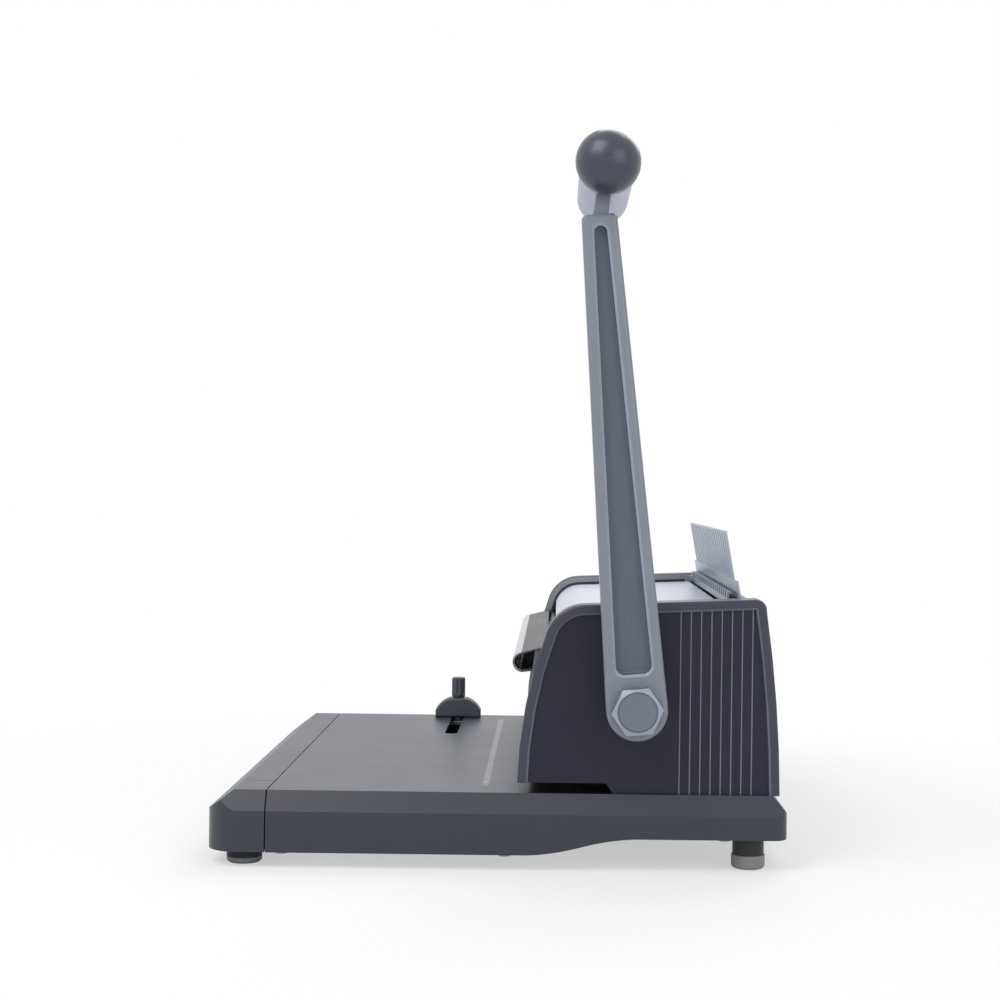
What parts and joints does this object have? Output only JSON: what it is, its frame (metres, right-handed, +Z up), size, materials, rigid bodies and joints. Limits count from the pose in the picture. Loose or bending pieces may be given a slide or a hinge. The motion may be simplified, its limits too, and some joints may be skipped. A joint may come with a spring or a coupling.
{
  "type": "comb binding punch",
  "caption": "Desk punch and binder for plastic comb rings: side lever on a shaft, slotted die row, chip drawer, sliding edge guide and a steel comb that opens the rings.",
  "frame": {"origin": "on the desk, midway across the machine's whole width from the base's left side to the lever's ball, and midway along its depth", "axes": "+X along the row of punched slots towards the lever, +Y from the open deck to the housing, +Z up"},
  "size_m": [0.4308, 0.351, 0.4407],
  "materials": {
    "base_plastic": "fine-grained moulded slate grey",
    "cheek_plastic": "satin moulded dark slate",
    "black_plastic": "matt black",
    "guide_plastic": "satin dark grey",
    "ball_plastic": "smooth, softly glossy",
    "grip_sleeve": "smooth light grey sleeve",
    "lever_paint": "grey powder coat",
    "silver_sheet": "bright silver lacquer",
    "brushed_sheet": "brushed along its length",
    "comb_steel": "satin plated",
    "plated_steel": "zinc plated",
    "tool_steel": "ground",
    "spring_steel": "drawn wire",
    "screw_steel": "bright plated",
    "bush_bronze": "sintered bronze",
    "foot_rubber": "soft black",
    "pad_rubber": "soft grey"
  },
  "bodies": {
    "machine": {"base_shell": "base_plastic", "base_bottom_plate": "plated_steel", "bottom_screws": "screw_steel", "left_corner_cap": "base_plastic", "right_corner_cap": "base_plastic", "cap_screws": "screw_steel", "front_feet": "foot_rubber", "foot_screws": "screw_steel", "rear_foot_posts": "black_plastic", "rear_foot_pads": "pad_rubber", "drawer_guides": "black_plastic", "left_cheek": "cheek_plastic", "right_cheek": "cheek_plastic", "cheek_screws": "screw_steel", "top_cover": "silver_sheet", "front_cover": "cheek_plastic", "rear_cover": "cheek_plastic", "front_lip": "brushed_sheet", "left_side_frame": "plated_steel", "right_side_frame": "plated_steel", "frame_screws": "screw_steel", "end_screws": "screw_steel", "die_plate": "tool_steel", "guide_plate": "tool_steel", "paper_stop": "tool_steel", "tie_bar": "plated_steel", "guide_rods": "tool_steel", "return_springs": "spring_steel", "shaft_bushes": "bush_bronze", "comb_plate": "comb_steel", "comb_rail": "plated_steel", "comb_screws": "screw_steel"},
    "lever": {"main_shaft": "tool_steel", "shaft_clip": "spring_steel", "left_pinion": "tool_steel", "right_pinion": "tool_steel", "lever_arm": "lever_paint", "lever_bolt": "lever_paint", "grip_rod": "tool_steel", "grip_ball": "ball_plastic", "grip_tube": "grip_sleeve", "grip_plug": "ball_plastic"},
    "punch_set": {"punch_bar": "plated_steel", "punch_pins": "tool_steel", "punch_racks": "tool_steel"},
    "comb_hooks": {"comb_hook_plate": "comb_steel", "hook_pins": "tool_steel"},
    "chip_drawer": {"drawer_front": "base_plastic", "drawer_bin": "black_plastic", "drawer_screws": "screw_steel"},
    "edge_guide": {"edge_guide_block": "guide_plastic", "edge_guide_clamp": "plated_steel"},
    "guide_knob": {"edge_guide_knob": "guide_plastic"}
  },
  "joints": [
    {"name": "lever_swing", "type": "hinge", "parent": "machine", "child": "lever", "pos_m": [-0.0229, 0.083, 0.0994], "axis": [1, 0, 0], "range_deg": [-15, 75]},
    {"name": "punch_stroke", "type": "slide", "parent": "machine", "child": "punch_set", "axis": [0, 0, -1], "range_m": [-0.0032, 0.0158], "deforming": ["return_springs"]},
    {"name": "comb_opening", "type": "slide", "parent": "machine", "child": "comb_hooks", "axis": [0, -1, 0], "range_m": [0, 0.028]},
    {"name": "drawer_pull", "type": "slide", "parent": "machine", "child": "chip_drawer", "axis": [0, -1, 0], "range_m": [0, 0.15]},
    {"name": "guide_shift", "type": "slide", "parent": "machine", "child": "edge_guide", "axis": [1, 0, 0], "range_m": [0, 0.08]},
    {"name": "guide_knob_turn", "type": "hinge", "parent": "edge_guide", "child": "guide_knob", "pos_m": [-0.1989, -0.043, 0.07], "axis": [0, 0, 1], "range_deg": [0, 180]}
  ],
  "couplings": [
    {"joint": "punch_stroke", "follows": "lever_swing", "m_per_rad": 0.012}
  ]
}
